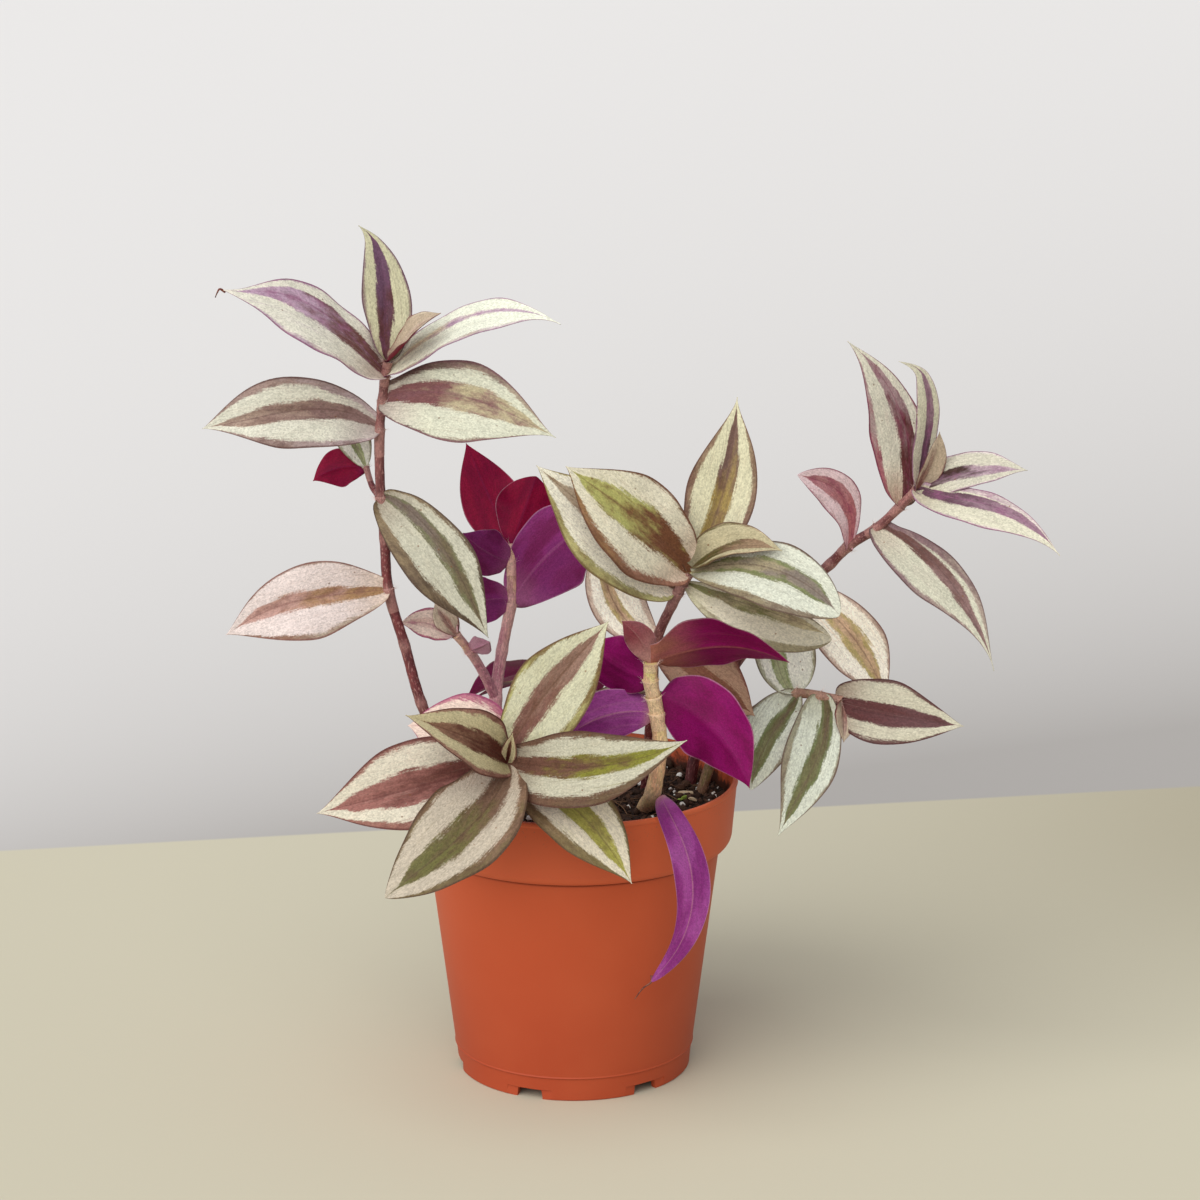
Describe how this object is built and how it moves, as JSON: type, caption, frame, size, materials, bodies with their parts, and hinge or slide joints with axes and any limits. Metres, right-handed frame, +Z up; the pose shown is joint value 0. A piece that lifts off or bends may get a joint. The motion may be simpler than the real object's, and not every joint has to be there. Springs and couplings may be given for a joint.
{
  "type": "potted tradescantia",
  "caption": "Zebra-striped trailing house plant with silver leaves that are magenta underneath, on leafy stems in a round terracotta-coloured plastic nursery pot filled with peat.",
  "frame": {"origin": "centre of the flat disc under the pot's base, on the surface it stands on", "axes": "+Z up through the pot, -Y towards the plant's front, +X to the right seen from the front"},
  "size_m": [0.2625, 0.2052, 0.2723],
  "materials": {
    "pot": "moulded, satin",
    "soil": "crumbly, matt",
    "silver_leaf": "fleshy, fine silvery grain",
    "magenta_leaf": "fleshy, velvety"
  },
  "bodies": {
    "root": {"nursery_pot": "pot", "potting_soil": "soil", "stem_tall_left": "silver_leaf", "stem_back_left": "magenta_leaf", "stem_front_left": "silver_leaf", "stem_front_right": "magenta_leaf", "stem_centre": "silver_leaf", "stem_right_tall": "silver_leaf", "stem_right_low": "silver_leaf", "stem_rear": "silver_leaf"}
  },
  "joints": []
}
